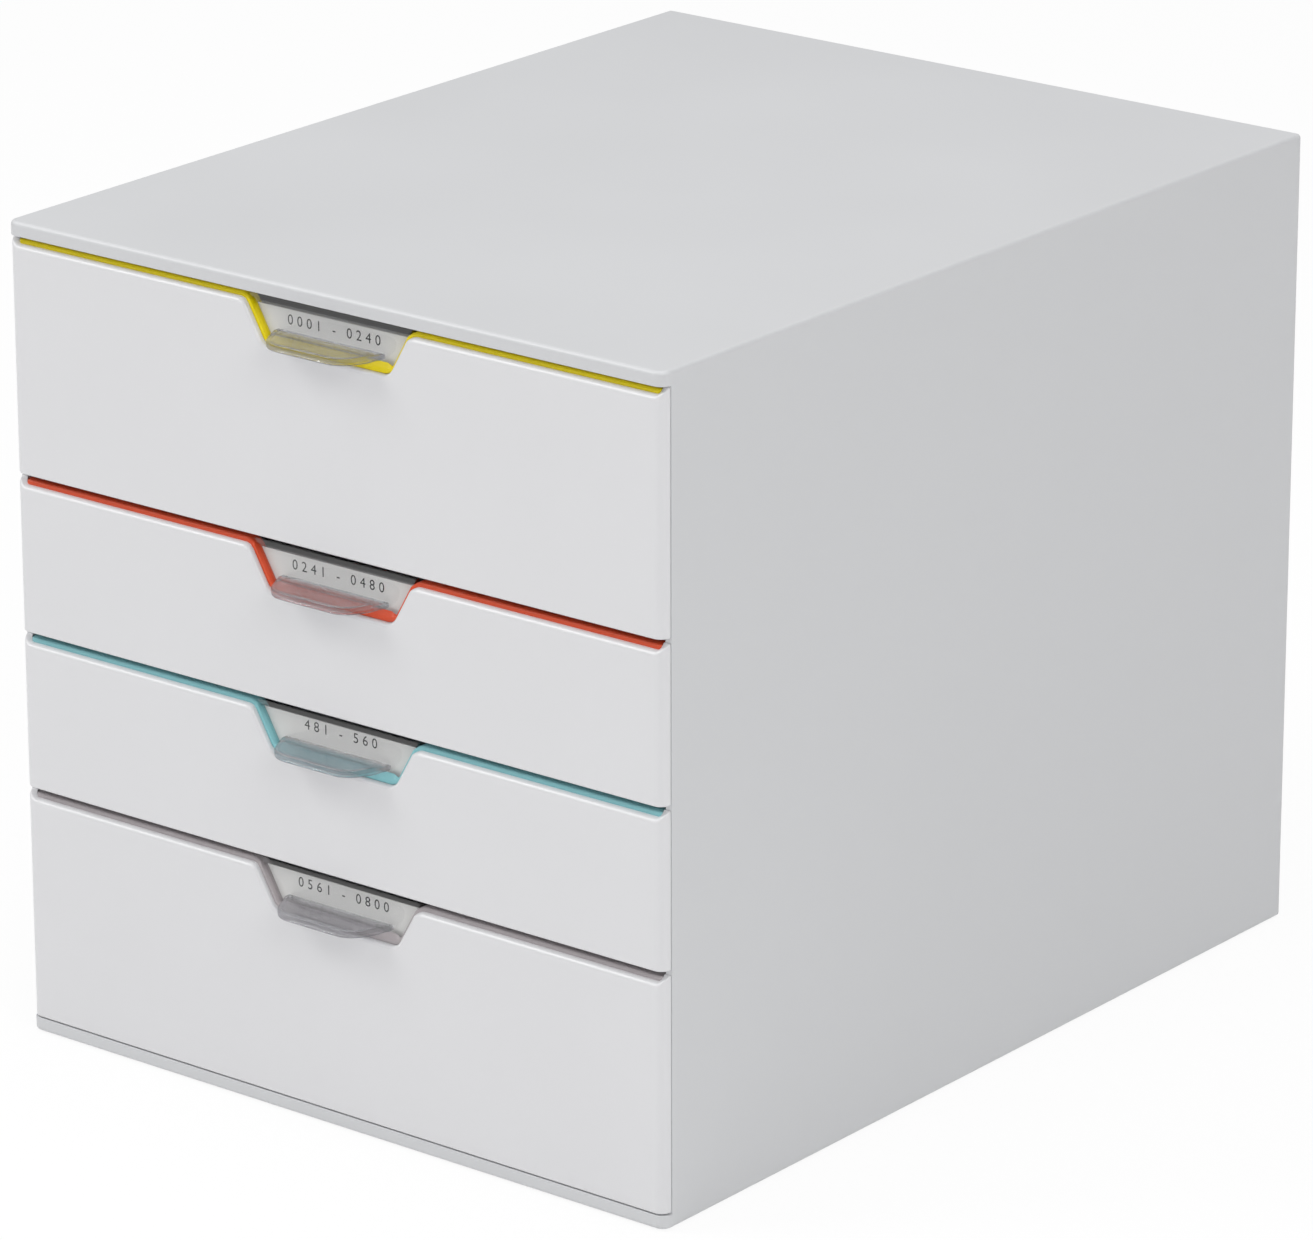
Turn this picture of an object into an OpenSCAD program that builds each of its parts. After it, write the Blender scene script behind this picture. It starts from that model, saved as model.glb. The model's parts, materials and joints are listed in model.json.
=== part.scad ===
// Desk drawer tower: a one-piece sleeve housing with inner runner panels, a rear panel and
// rubber feet, and four sliding drawers. Each drawer is a tray, a front cover, a coloured trim
// frame round the grip pocket, a clear grip with a label window, and a label card.
//
// The tower stands on the plane z = 0 and its front looks along -Y. The origin is at the centre
// of its footprint, grips included. Inside the modules y is measured from the front plane of
// the covers, and placed() moves every piece to the origin at the end.

/* [Housing] */
// Width of the housing
body_w = 280; // [250:1:360]
// Depth from the front plane of the covers to the back
body_d = 356; // [330:1:420]
// Height from the floor to the top face
body_h = 292; // [280:1:400]
// Thickness of the sleeve's side walls
shell_wall = 2.6; // [2:0.1:4]
// Thickness of the top and base plates behind their front edges
plate_t = 3; // [2:0.1:4.5]
// Height of the top plate's front edge
top_edge_h = 5; // [4.6:0.1:9]
// Height of the base's front edge
base_edge_h = 5; // [4.6:0.1:9]
// Depth of the thick front edge of the top and base plates
edge_d = 9; // [6:0.5:14]
// How far the side walls stand back from the front plane
side_setback = 4; // [4:0.1:6]
// Radius of the front corners, seen from above
corner_r = 4; // [3:0.5:4]
// Radius of the outer long edges
edge_r = 1.5; // [0.6:0.1:1.9]
// How far the feet stand out of the base
foot_proud = 0.6; // [0.4:0.1:3]

/* [Grid of drawers] */
// Height of each drawer from the top down, in grid units
drawer_units = [3, 2, 2, 3]; // [2:1:4]
// How far the drawers pull out
drawer_travel = 250; // [150:5:290]

/* [Runners] */
// Thickness of the runner panels
panel_t = 1.8; // [1.4:0.1:2.6]
// How far the rails stand out of the runner panels
rail_out = 6.5; // [5:0.1:9]
// Thickness of each rail
rail_t = 1.8; // [1.2:0.1:2.6]
// Length of the lead-in at the front end of each rail
rail_lead = 8; // [4:0.5:16]
// Thickness of the stop blocks, along the travel
stop_t = 4; // [3:0.5:8]
// Height of the stop blocks
stop_h = 8; // [5:0.5:12]
// Distance of the stop blocks behind the front of the runner panels
stop_setback = 5; // [2:0.5:10]

/* [Trays] */
// Wall thickness of the trays
tray_wall = 1.8; // [1.2:0.1:2.4]
// Floor thickness of the trays
tray_floor = 1.8; // [1.2:0.1:3]
// Thickness of the rim flanges that run in the grooves
flange_t = 2; // [1.5:0.1:2.6]
// Depth of the rim flanges' tops below the top of the drawer's cell
rim_drop = 7.1; // [6.8:0.1:12]
// Depth of the front wall's top below the top of the drawer's cell
front_wall_drop = 6.4; // [4.8:0.1:6.7]
// Inner corner radius of the trays, seen from above
tray_corner_r = 6; // [3:0.5:12]
// Radius of the cove between the floor and the walls
tray_cove_r = 3; // [1.5:0.5:6]
// Clearance under the trays, above the bottom of their cells
tray_lift = 1.2; // [0.8:0.1:2]
// Free space between the back of the trays and the rear panel
rear_space = 10; // [6:1:20]
// Length of the stop tabs on the trays, along the travel
tab_len = 10; // [6:1:16]
// Width of the slots that free each stop tab's tongue
tongue_slot = 1.2; // [0.8:0.1:2]

/* [Covers] */
// Skin thickness of the covers
cover_t = 2.5; // [1.8:0.1:3]
// How far the covers' ends stand in from the sides of the housing
cover_inset = 0.35; // [0.2:0.05:1]
// Drop from the top of the cell to the cover's top edge
cover_drop = 4.35; // [4:0.05:6]
// Drop from the top of the cell to the raised ends of the cover
ear_drop = 1.4; // [1:0.1:2.4]
// Angle of the front corner over which a cover's top edge climbs to its raised end
ear_turn = 80; // [60:1:85]
// Radius along the covers' top edge
cover_top_r = 1.5; // [0.4:0.1:1.6]
// Radius along the covers' bottom edge
cover_bottom_r = 1.5; // [0.4:0.1:1.5]
// Thickness of the ribs behind the skin, and of those on the rear panel
rib_t = 1.4; // [1:0.1:2]
// Number of upright ribs behind each cover
rib_count = 6; // [4:1:10]
// Diameter of the pegs that hold a cover to its tray
peg_d = 5; // [3:0.5:8]
// Distance of the pegs from the ends of the cover
peg_inset = 45; // [25:1:50]

/* [Grip pocket] */
// Width of the pocket at the cover's top edge
pocket_top_w = 67; // [50:1:90]
// Width of the pocket at its bottom, before rounding
pocket_bottom_w = 51; // [36:1:60]
// Depth of the pocket below the cover's top edge
pocket_drop = 13.8; // [12:0.1:18]
// Radius where the pocket runs out into the top edge
pocket_top_r = 5; // [2:0.5:9]
// Radius of the pocket's bottom corners
pocket_bottom_r = 4.5; // [3:0.5:6]

/* [Trim frame] */
// Thickness of the coloured strip and its flange
accent_t = 2; // [1.4:0.1:2.2]
// How far the coloured strip stands above the cover's top edge
accent_rise = 1.7; // [0.8:0.1:2.4]
// Height of the coloured strip behind the cover
accent_h = 22; // [20:0.5:26]
// Thickness of the pocket's lining
lining_t = 1; // [0.8:0.1:1.4]
// How far the lining's front edge lies behind the front plane
lining_recess = 0.4; // [0.2:0.1:1]
// Rise of the pocket's sloping floor towards the back
ramp_rise = 1.6; // [0.6:0.1:2.2]
// Thickness of the wall behind the label card
back_wall_t = 1.5; // [1:0.1:2]
// How far the top of that wall lies below the cover's top edge
back_wall_dip = 1.6; // [0.6:0.1:3]

/* [Clear grip] */
// How far the window lies behind the front plane
window_y = 3.5; // [2:0.1:3.8]
// Thickness of the window
window_t = 1.5; // [1:0.1:1.6]
// How far the window's top edge lies below the top of the coloured strip
window_dip = 0.1; // [0.1:0.1:1]
// Depth of the lip's upper face below the cover's top edge
lip_drop = 9; // [6.5:0.1:9.4]
// Thickness of the lip
lip_t = 1.8; // [1.2:0.1:2.2]
// How far the lip reaches out in front of the front plane
lip_reach = 11.7; // [8:0.1:18]
// Width of the lip at the window
lip_root_w = 46; // [36:1:46]
// Width of the lip's straight front edge
lip_front_w = 26; // [16:1:32]
// Height of the bead along the lip's edge
bead_h = 2.7; // [2.2:0.1:3.4]
// Thickness of the bead
bead_t = 1.5; // [1:0.1:2]

/* [Label card] */
// Thickness of the label card
card_t = 0.4; // [0.2:0.05:0.6]

/* [Rear panel] */
// Thickness of the rear panel
rear_panel_t = 2.5; // [2:0.1:3.5]
// How far the rear panel lies inside the end of the sleeve
rear_recess = 1.5; // [0.5:0.1:3]
// Depth of the rear panel's seat in the sleeve's walls
rear_ledge = 0.8; // [0.5:0.1:1.2]
// Height of the ribs across the rear panel
rear_rib_h = 4; // [2:0.5:5]
// Number of the ribs across the rear panel
rear_rib_count = 4; // [2:1:8]

/* [Feet] */
// Diameter of the feet
foot_d = 16; // [10:1:24]
// Depth of the feet's seats in the base
foot_seat = 1.4; // [1:0.1:2]
// Distance of the feet's centres from the sides, the front and the back
foot_inset = 30; // [20:1:50]

/* [Fits] */
// Clearance between a tray's flange and its groove, above and below
slide_gap = 0.3; // [0.2:0.05:0.5]
// Clearance between a tray and its runners, at each side
side_play = 0.6; // [0.3:0.1:1]
// Gap between the covers and the front edges of the housing
cover_gap = 0.4; // [0.2:0.1:1]
// Clearance of parts that are pressed or laid into a seat
fit_gap = 0.15; // [0.05:0.05:0.3]

/* [Hidden] */
// Steps of an arc in a computed outline
arc_steps = 10;
// Smoothness of true circles where they are drawn as a mesh
$fn = 64;
// How far a cut passes through a face
over = 1;
// How far a rib or a peg is rooted in its wall
root = 0.5;
// Least radius of a corner that is drawn round
least_r = 0.5;
// Reach of a rail at the very front of its lead-in
rail_nose = 1;
// How far the slots of a tongue run below its stop tab, and how far beside it they lie
tongue_root = 6;
tongue_margin = 2;
// How far the top of the label card lies below the cover's top edge
card_dip = 0.5;
// Plan of the lip: length and radius of its neck, and shoulder and radius of its front corners
lip_neck = 2;
lip_neck_r = 8;
lip_shoulder = 3;
lip_corner_r = 9;
// How far the bead stands above the lip
bead_rise = 0.3;
// Colours of the trim frames from the top down
TINTS = ["#e0d32a", "#d65f3e", "#8cc4c9", "#a79fa2"];

// Names of the parts of one drawer
DRAWER_PARTS = ["tray", "cover", "accent", "handle", "label"];
SIDES = ["left", "right"];
ENDS = ["front", "rear"];

drawer_count = len(drawer_units);

// Housing: inside faces, and where the front plane lies
front_y = -(body_d - lip_reach) / 2;
base_z = foot_proud;
base_top = base_z + base_edge_h;
top_under = body_h - top_edge_h;
inner_w = body_w - 2 * shell_wall;
inner_bottom = base_z + plate_t;
inner_top = body_h - plate_t;
rear_y = body_d - rear_recess - rear_panel_t;

// Grid: the cells fill the height between the front edges of base and top
function sum(v, n) = n == 0 ? 0 : v[n - 1] + sum(v, n - 1);
grid_units = sum(drawer_units, drawer_count);
grid_bottom = base_top + cover_gap;
grid_top = top_under - cover_gap + ear_drop;
unit_h = (grid_top - grid_bottom) / grid_units;
function cell_top(d) = grid_top - unit_h * sum(drawer_units, d - 1);
function cell_bottom(d) = grid_top - unit_h * sum(drawer_units, d);

// Front assembly: depths from the front plane, one behind the other
accent_y = cover_t;
card_y = window_y + window_t;
back_wall_y = card_y + card_t;
front_wall_y = max(accent_y + accent_t, back_wall_y) + back_wall_t;
tray_start = front_wall_y + tray_wall;
panel_start = max(edge_d, tray_start) + cover_gap;

// Runners and trays: widths from the middle of the tower
panel_in = inner_w / 2 - panel_t;
rail_tip = panel_in - rail_out;
tray_half = rail_tip - side_play;
flange_half = panel_in - side_play;
tray_end = rear_y - rear_space;
flange_end = tray_end - tray_corner_r - tray_wall;
groove_h = flange_t + 2 * slide_gap;
groove_top_drop = rim_drop - slide_gap;
groove_bottom_drop = groove_top_drop + groove_h;
stop_drop = groove_bottom_drop + rail_t + 2 * slide_gap;
stop_y = panel_start + stop_setback;
stop_reach = rail_out - side_play;
tab_y = stop_y + stop_t + drawer_travel + slide_gap;
tab_out = rail_out - 2 * side_play;
tongue_h = stop_drop - rim_drop - flange_t + stop_h + tongue_root;
hollow_w = 2 * (tray_half - tray_wall);
hollow_d = tray_end - tray_wall - tray_start;

// Covers: the outline is inset in the front of the housing
cover_half = body_w / 2 - cover_inset;
return_d = side_setback - fit_gap;
straight_half = cover_half - corner_r;
web_half = min(cover_half - cover_t - fit_gap, inner_w / 2 - cover_gap);
strip_r = max(least_r, corner_r - cover_t - fit_gap);
front_wall_half = inner_w / 2 - side_play;
skin_bottom_r = min(cover_bottom_r, cover_t - 2 * root);

// Pocket: a symmetrical trapezoid that opens upwards
pocket_slope = (pocket_top_w - pocket_bottom_w) / 2 / pocket_drop;
pocket_tilt = atan(pocket_slope);

// ---------------------------------------------------------------- outlines

function unit(v) = v / norm(v);

// Points of the arc of radius r that rounds the corner p between its neighbours a and b
function rounded_corner(a, p, b, r) =
    let (
        u = unit(a - p),
        v = unit(b - p),
        half = acos(u * v) / 2,
        centre = p + unit(u + v) * r / sin(half),
        from = p + u * r / tan(half) - centre,
        to = p + v * r / tan(half) - centre,
        start = atan2(from[1], from[0]),
        turn = atan2(to[1], to[0]) - start,
        sweep = turn > 180 ? turn - 360 : turn < -180 ? turn + 360 : turn
    )
    [for (i = [0:arc_steps])
        centre + r * [cos(start + sweep * i / arc_steps), sin(start + sweep * i / arc_steps)]];

// An outline through the points, each corner rounded by its own radius, or sharp where it is 0
function rounded_outline(points, radii) =
    let (n = len(points))
    [for (i = [0:n - 1])
        each radii[i] == 0 ? [points[i]]
            : rounded_corner(points[(i + n - 1) % n], points[i], points[(i + 1) % n], radii[i])];

// The pocket seen from the front, as (x, z) from the cover's top edge. inset draws its walls
// inwards, and rise lifts the line at which it runs out into the top edge.
function pocket_outline(inset, rise, above) =
    let (
        wall_half = pocket_top_w / 2 - inset / cos(pocket_tilt),
        top_half = wall_half + rise * pocket_slope,
        floor_half = wall_half - (pocket_drop - inset) * pocket_slope,
        flare = top_half + 3 * pocket_top_r,
        r_top = pocket_top_r + inset,
        r_floor = max(least_r, pocket_bottom_r - inset)
    )
    rounded_outline(
        [[-flare, above], [-flare, rise], [-top_half, rise], [-floor_half, inset - pocket_drop],
            [floor_half, inset - pocket_drop], [top_half, rise], [flare, rise], [flare, above]],
        [0, 0, r_top, r_floor, r_floor, r_top, 0, 0]);

// The window or the card seen from the front: the inset pocket, cut straight at the top
function window_outline(inset, top) =
    let (
        wall_half = pocket_top_w / 2 - inset / cos(pocket_tilt),
        top_half = wall_half + top * pocket_slope,
        floor_half = wall_half - (pocket_drop - inset) * pocket_slope,
        r = max(least_r, pocket_bottom_r - inset)
    )
    rounded_outline(
        [[-top_half, top], [-floor_half, inset - pocket_drop],
            [floor_half, inset - pocket_drop], [top_half, top]],
        [0, r, r, 0]);

// The climb of a cover's top edge at one end, seen from the front, as (x, z) from the top edge.
// The climb is a quarter of a cosine wave along the round corner, and the line then goes
// straight up. Both ends together close the outline of what is cut away above the top edge.
function ear_line(side) =
    let (
        climb = cover_drop - ear_drop,
        line = [for (i = [0:arc_steps])
            [side * (straight_half + corner_r * sin(ear_turn * i / arc_steps)),
                climb * (1 - cos(90 * i / arc_steps))]],
        whole = concat(line, [[side * (straight_half + corner_r * sin(ear_turn)), cover_drop]])
    )
    side > 0 ? whole : [for (i = [len(whole) - 1:-1:0]) whole[i]];

// The lip seen from above, as (x, y), drawn in by inset along its free edge
function lip_outline(inset) =
    let (
        root_half = lip_root_w / 2 - inset,
        front_half = lip_front_w / 2 + lip_shoulder - inset,
        back = window_y + window_t / 2,
        neck = window_y - lip_neck,
        front = -lip_reach + inset,
        r = lip_corner_r - inset
    )
    rounded_outline(
        [[-root_half, back], [-root_half, neck], [-front_half, front],
            [front_half, front], [root_half, neck], [root_half, back]],
        [0, lip_neck_r, r, r, lip_neck_r, 0]);

// ---------------------------------------------------------------- sweeps

module placed() {
    translate([0, front_y, 0]) children();
}

// A profile drawn as (y, z), extruded along X and centred
module along_x(length) {
    rotate([90, 0, 90]) translate([0, 0, -length / 2]) linear_extrude(length) children();
}

// A profile drawn as (x, z), extruded from y = start to y = end
module along_y(start, end) {
    translate([0, end, 0]) rotate([90, 0, 0]) linear_extrude(end - start) children();
}

module mirrored_x() {
    children();
    mirror([1, 0, 0]) children();
}

// A bar of depth t and height h with its outer edges rounded. Drawn as (distance outwards, z),
// with the outer face at reach.
module edge_profile(reach, t, bottom, top, r_bottom, r_top) {
    translate([reach - t, bottom]) square([t - max(r_bottom, r_top), top - bottom]);
    translate([reach - t, bottom + r_bottom]) square([t, top - bottom - r_bottom - r_top]);
    for (c = [[r_bottom, bottom + r_bottom], [r_top, top - r_top]])
        if (c[0] > 0) translate([reach - c[0], c[1]]) circle(c[0]);
    if (r_bottom < r_top)
        translate([reach - t, bottom]) square([t - r_bottom, top - bottom - r_top]);
    if (r_top < r_bottom)
        translate([reach - t, bottom + r_bottom]) square([t - r_top, top - bottom - r_bottom]);
}

// The same bar carried along the front, round both front corners and on to y = end
module round_the_front(half_w, t, bottom, top, r_bottom, r_top, end) {
    along_x(2 * (half_w - corner_r)) translate([corner_r, 0])
        mirror([1, 0]) edge_profile(corner_r, t, bottom, top, r_bottom, r_top);
    mirrored_x() translate([half_w - corner_r, 0, 0]) {
        translate([0, corner_r, 0]) rotate([0, 0, -90]) rotate_extrude(angle = 90)
            edge_profile(corner_r, t, bottom, top, r_bottom, r_top);
        if (end > corner_r)
            along_y(corner_r, end) edge_profile(corner_r, t, bottom, top, r_bottom, r_top);
    }
}

// ---------------------------------------------------------------- housing

// Outer section of the sleeve, seen from the front
module sleeve_section() {
    h = body_h - base_z;
    translate([-body_w / 2 + edge_r, base_z]) square([body_w - 2 * edge_r, h]);
    translate([-body_w / 2, base_z + edge_r]) square([body_w, h - 2 * edge_r]);
    for (sx = [-1, 1], z = [base_z + edge_r, body_h - edge_r])
        translate([sx * (body_w / 2 - edge_r), z]) circle(edge_r);
}

// The front edge of the top or base plate: a solid bar with round corners
module plate_edge(bottom, top, r_bottom, r_top) {
    w = inner_w + shell_wall;
    round_the_front(body_w / 2, corner_r, bottom, top, r_bottom, r_top, corner_r);
    translate([-w / 2, corner_r - over, bottom + r_bottom])
        cube([w, edge_d - corner_r + over, top - bottom - r_bottom - r_top]);
}

module foot_places(ends = ENDS, sides = SIDES) {
    for (e = ends, s = sides)
        translate([
            (s == "left" ? -1 : 1) * (body_w / 2 - foot_inset),
            e == "front" ? foot_inset : body_d - foot_inset, 0])
            children();
}

// One-piece sleeve: sides, top and base, with thick front edges on top and base
module housing_shell() color("#d2d3d5") placed() {
    difference() {
        union() {
            difference() {
                along_y(corner_r, body_d) sleeve_section();
                translate([-inner_w / 2, corner_r - over, inner_bottom])
                    cube([inner_w, body_d, inner_top - inner_bottom]);
                // the side walls stand back from the front plane
                mirrored_x() translate([inner_w / 2 - over, corner_r - over, base_top])
                    cube([shell_wall + 2 * over, side_setback - corner_r + over, top_under - base_top]);
            }
            plate_edge(base_z, base_top, edge_r, 0);
            plate_edge(top_under, body_h, 0, edge_r);
            foot_bosses();
        }
        foot_places() translate([0, 0, base_z - over])
            cylinder(d = foot_d + 2 * fit_gap, h = foot_seat + over);
        // shallow seat of the rear panel in the sleeve's end
        translate([-inner_w / 2 - rear_ledge, rear_y, inner_bottom - rear_ledge])
            cube([inner_w + 2 * rear_ledge, body_d, inner_top - inner_bottom + 2 * rear_ledge]);
    }
}

// Round thickenings over the foot seats, so that the base keeps its wall there
module foot_bosses() {
    foot_places() translate([0, 0, inner_bottom - over])
        cylinder(d = foot_d + 2 * plate_t, h = foot_seat + over);
}

// Rear panel: a plate let into the back of the sleeve, with ribs across its inner face
module rear_panel() color("#cfd0d2") placed() {
    w = inner_w + 2 * rear_ledge - 2 * fit_gap;
    z0 = inner_bottom - rear_ledge + fit_gap;
    h = inner_top - inner_bottom + 2 * rear_ledge - 2 * fit_gap;
    translate([-w / 2, rear_y, z0]) cube([w, rear_panel_t, h]);
    for (i = [1:rear_rib_count])
        translate([-tray_half, rear_y - rear_rib_h, z0 + h * i / (rear_rib_count + 1)])
            cube([2 * tray_half, rear_rib_h + root, rib_t]);
}

// One rail seen from above, rooted in its panel, with its lead-in at the front
module rail_plan() {
    polygon([
        [panel_in + root, panel_start], [panel_in + root, rear_y], [rail_tip, rear_y],
        [rail_tip, panel_start + rail_lead], [panel_in - rail_nose, panel_start]]);
}

// Runner panel of the right side: a plate with a groove and a stop block for every grid unit
module runner_right() color("#c9cacc") placed() {
    translate([panel_in, panel_start, inner_bottom])
        cube([panel_t, rear_y - panel_start, inner_top - inner_bottom]);
    for (u = [1:grid_units]) {
        top = grid_bottom + unit_h * u;
        translate([0, 0, top - groove_top_drop]) linear_extrude(rail_t) rail_plan();
        translate([0, 0, top - groove_bottom_drop - rail_t]) linear_extrude(rail_t) rail_plan();
        translate([panel_in - stop_reach, stop_y, top - stop_drop - stop_h])
            cube([stop_reach + root, stop_t, stop_h]);
    }
}

module runner_left() mirror([1, 0, 0]) runner_right();

// A rubber foot in its seat: a disc with a domed lower edge
module foot(end, side) color("#3a3b3d") placed() foot_places([end], [side]) {
    foot_r = foot_d / 2;
    bevel = foot_proud / 2;
    translate([0, 0, bevel]) cylinder(r = foot_r, h = foot_proud + foot_seat - bevel);
    cylinder(r1 = foot_r - bevel, r2 = foot_r, h = bevel);
}

// ---------------------------------------------------------------- drawers

// Plan of a tray's body, with round corners at the back
module tray_plan() {
    r = tray_corner_r + tray_wall;
    translate([-tray_half, front_wall_y])
        square([2 * tray_half, tray_end - r - front_wall_y]);
    translate([-tray_half + r, tray_end - r - over]) square([2 * (tray_half - r), r + over]);
    for (sx = [-1, 1]) translate([sx * (tray_half - r), tray_end - r]) circle(r);
}

// Plan of a tray's hollow, with round corners
module hollow_plan() {
    r = tray_corner_r;
    translate([0, tray_start]) {
        translate([-hollow_w / 2 + r, 0]) square([hollow_w - 2 * r, hollow_d]);
        translate([-hollow_w / 2, r]) square([hollow_w, hollow_d - 2 * r]);
        for (sx = [-1, 1], y = [r, hollow_d - r])
            translate([sx * (hollow_w / 2 - r), y]) circle(r);
    }
}

// Section of the cove along the foot of a wall. Drawn as (distance outwards, z), with the
// wall at reach.
module cove_profile(reach) {
    r = tray_cove_r;
    difference() {
        translate([reach - r, -over]) square([r + over, r + over]);
        translate([reach - r, r]) circle(r);
    }
}

// The cove round the foot of all four walls of the hollow, from z = 0
module floor_cove() {
    r = tray_corner_r;
    translate([0, tray_start + hollow_d / 2, 0])
        for (sx = [-1, 1], sy = [-1, 1]) in_quarter(sx, sy) {
            translate([0, hollow_d / 2 - r, 0])
                rotate([90, 0, 90]) linear_extrude(hollow_w / 2 - r) cove_profile(r);
            translate([hollow_w / 2 - r, hollow_d / 2 - r, 0])
                rotate([90, 0, 0]) linear_extrude(hollow_d / 2 - r) cove_profile(r);
            translate([hollow_w / 2 - r, hollow_d / 2 - r, 0])
                rotate_extrude(angle = 90) cove_profile(r);
        }
}

// Mirrors its children into one quarter of the plan
module in_quarter(sx, sy) {
    mirror([sx < 0 ? 1 : 0, 0, 0]) mirror([0, sy < 0 ? 1 : 0, 0]) children();
}

module tray(d) color("#d6d7d9") placed() {
    bottom = cell_bottom(d) + tray_lift;
    rim = cell_top(d) - rim_drop;
    front_top = cell_top(d) - front_wall_drop;
    difference() {
        union() {
            // body of the tray
            translate([0, 0, bottom]) linear_extrude(rim - bottom) tray_plan();
            // front wall, as wide as the front
            translate([-front_wall_half, front_wall_y, bottom])
                cube([2 * front_wall_half, tray_wall, front_top - bottom]);
            // rim flanges
            mirrored_x() translate([tray_half - root, tray_start - root, rim - flange_t])
                cube([flange_half - tray_half + root, flange_end - tray_start + root, flange_t]);
            // stop tabs
            mirrored_x()
                translate([tray_half - root, tab_y, cell_top(d) - stop_drop - stop_h])
                    cube([root + tab_out, tab_len, stop_h]);
        }
        translate([0, 0, bottom + tray_floor]) difference() {
            linear_extrude(rim - bottom) hollow_plan();
            floor_cove();
        }
        peg_places(d) along_y(front_wall_y - over, tray_start + over)
            circle(d = peg_d + 2 * fit_gap);
        tongue_slots(d);
    }
}

// Slots round each stop tab, beside and above it, so that the tongue that carries it bends
module tongue_slots(d) {
    first = tab_y - tongue_margin - tongue_slot;
    last = tab_y + tab_len + tongue_margin;
    top = cell_top(d) - rim_drop - flange_t;
    mirrored_x() translate([tray_half - tray_wall - over, 0, 0]) {
        for (y = [first, last])
            translate([0, y, top - tongue_h]) cube([tray_wall + 2 * over, tongue_slot, tongue_h]);
        translate([0, first, top - tongue_slot])
            cube([tray_wall + 2 * over, last + tongue_slot - first, tongue_slot]);
    }
}

// Where the pegs of a cover pass into the tray's front wall
module peg_places(d) {
    low = cell_bottom(d) + tray_lift + tray_floor + 2 * peg_d;
    high = cell_top(d) - cover_drop + accent_rise - accent_h - 1.5 * peg_d;
    for (sx = [-1, 1], z = [low, high])
        translate([sx * (cover_half - peg_inset), 0, z]) children();
}

module cover(d) color("#e6e6e8") placed() {
    bottom = cell_bottom(d);
    top = cell_top(d) - cover_drop;
    ear_top = cell_top(d) - ear_drop;
    difference() {
        union() {
            round_the_front(cover_half, cover_t, bottom, ear_top, skin_bottom_r,
                cover_top_r / 2, return_d);
            // return along the bottom edge
            translate([-web_half, cover_t - root, bottom])
                cube([2 * web_half, front_wall_y - cover_t - slide_gap + root, rib_t]);
            cover_ribs(d);
            peg_places(d) along_y(cover_t - root, tray_start - slide_gap) circle(d = peg_d);
        }
        // the side returns end short of the housing's walls
        mirrored_x() translate([web_half, return_d, bottom - over])
            cube([body_w, corner_r, ear_top - bottom + 2 * over]);
        // the top edge is lower between the raised ends
        translate([0, 0, top]) along_y(-over, side_setback + over)
            polygon(concat(ear_line(-1), ear_line(1)));
        // its front is rounded
        translate([0, 0, top]) along_x(2 * straight_half) difference() {
            translate([-over, -cover_top_r]) square([over + cover_top_r, cover_top_r + over]);
            translate([cover_top_r, -cover_top_r]) circle(cover_top_r);
        }
        translate([0, 0, top]) along_y(-over, cover_t + over)
            polygon(pocket_outline(0, 0, cover_drop));
    }
}

// Upright ribs between the skin and the tray's front wall, below the trim frame
module cover_ribs(d) {
    top = cell_top(d) - cover_drop + accent_rise - accent_h - fit_gap;
    for (i = [0:rib_count - 1])
        translate([
            -web_half + (2 * web_half - rib_t) * i / (rib_count - 1),
            cover_t - root, cell_bottom(d)])
            cube([rib_t, front_wall_y - cover_t + root, top - cell_bottom(d)]);
}

// Plan of the strip and its flanges: a bar with round front corners
module strip_plan() {
    translate([-web_half, accent_y + strip_r])
        square([2 * web_half, front_wall_y - accent_y - strip_r]);
    translate([-web_half + strip_r, accent_y])
        square([2 * (web_half - strip_r), front_wall_y - accent_y]);
    for (sx = [-1, 1]) translate([sx * (web_half - strip_r), accent_y + strip_r]) circle(strip_r);
}

// Section of the strip and its two flanges, with a rounded top edge in front
module strip_profile() {
    bottom = accent_rise - accent_h;
    half_t = accent_t / 2;
    translate([accent_y, bottom]) square([accent_t, accent_h - half_t]);
    for (z = [bottom, accent_rise - accent_t])
        translate([accent_y + half_t, z]) square([front_wall_y - accent_y - half_t, accent_t]);
    translate([accent_y + half_t, accent_rise - half_t]) circle(half_t);
}

// Coloured trim frame: a strip behind the cover's top edge with a flange to the tray, and a
// lining round the pocket with a back wall for the label
module accent(d, tint) color(tint) placed() translate([0, 0, cell_top(d) - cover_drop]) {
    bottom = accent_rise - accent_h;
    difference() {
        union() {
            // strip and flanges, with ends that follow the cover's round corners
            intersection() {
                along_x(2 * web_half) strip_profile();
                translate([0, 0, bottom]) linear_extrude(accent_h) strip_plan();
            }
            // block that the pocket is cut from, no higher than the cover's edge in front
            along_y(lining_recess, accent_y + root) intersection() {
                polygon(pocket_outline(fit_gap, 0, accent_rise));
                translate([-body_w / 2, -pocket_drop]) square([body_w, pocket_drop]);
            }
            along_y(accent_y, front_wall_y) polygon(window_outline(fit_gap, accent_rise));
        }
        along_y(lining_recess - over, back_wall_y)
            polygon(pocket_outline(lining_t + fit_gap, accent_rise, accent_rise + over));
        along_y(back_wall_y - over, front_wall_y + over) difference() {
            polygon(pocket_outline(lining_t + fit_gap, accent_rise, accent_rise + over));
            translate([-pocket_top_w, -pocket_drop])
                square([2 * pocket_top_w, pocket_drop - back_wall_dip]);
        }
    }
    // sloping floor of the pocket
    pocket_floor();
}

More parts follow.
